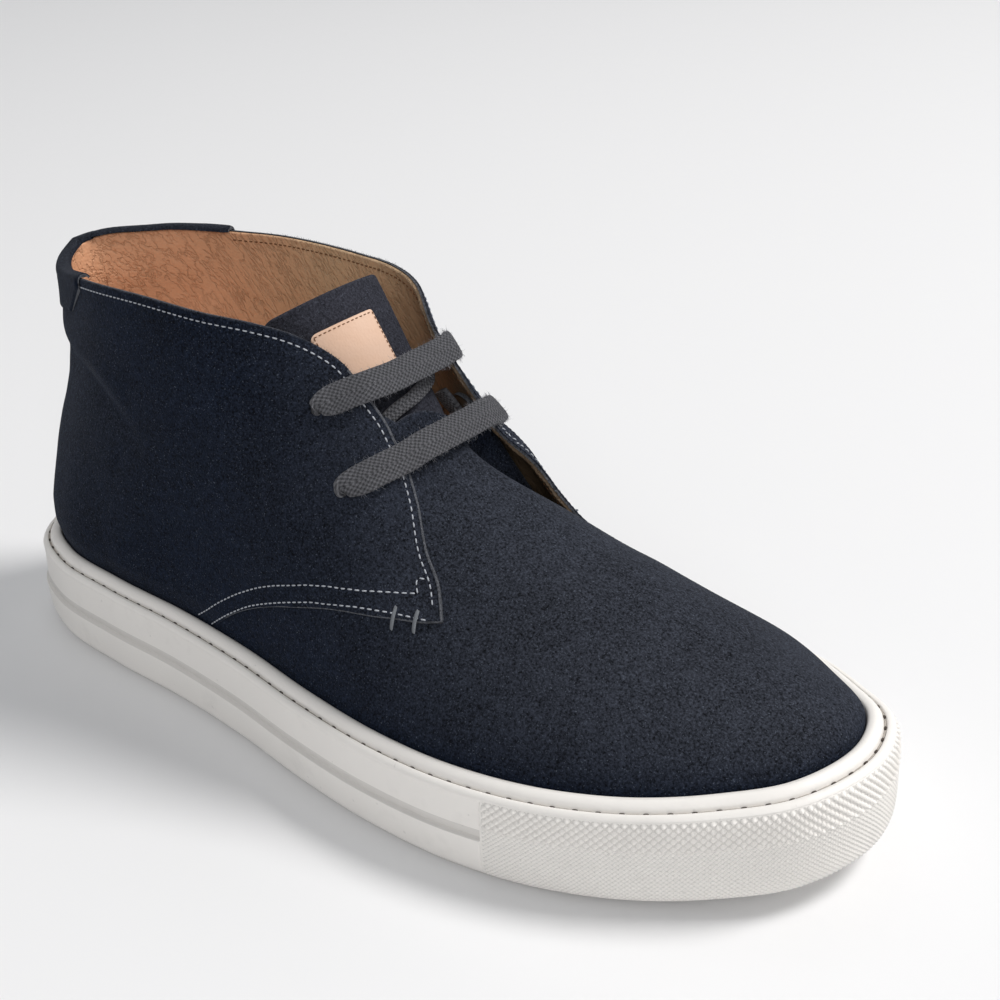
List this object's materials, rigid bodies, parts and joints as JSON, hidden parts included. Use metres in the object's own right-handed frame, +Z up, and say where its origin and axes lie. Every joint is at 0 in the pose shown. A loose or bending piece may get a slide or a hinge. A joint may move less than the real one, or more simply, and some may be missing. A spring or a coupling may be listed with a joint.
{
  "type": "mid-top sneaker",
  "caption": "Right-foot lace-up sneaker: suede quarters over a plain vamp, tongue with a blank leather patch, flat lace, rolled heel tab, on a rubber cupsole with a ridged toe band.",
  "frame": {"origin": "middle of the bounding box's bottom, on the plane that the sole stands on", "axes": "+X from heel to toe, +Y toward the inner side of the foot, +Z up"},
  "size_m": [0.3, 0.1127, 0.129],
  "materials": {
    "cupsole_rubber": "smooth off-white rubber",
    "upper_suede": "matte navy suede",
    "insole_leather": "smooth tan lining leather",
    "tongue_suede": "matte charcoal suede",
    "patch_leather": "smooth natural leather",
    "binding_suede": "matte navy suede, rolled edge",
    "lace_cotton": "flat woven cotton"
  },
  "bodies": {
    "root": {"cupsole": "cupsole_rubber", "upper": "upper_suede", "insole": "insole_leather", "tongue": "tongue_suede", "tongue_patch": "patch_leather", "heel_tab": "binding_suede", "lace": "lace_cotton"}
  },
  "joints": []
}
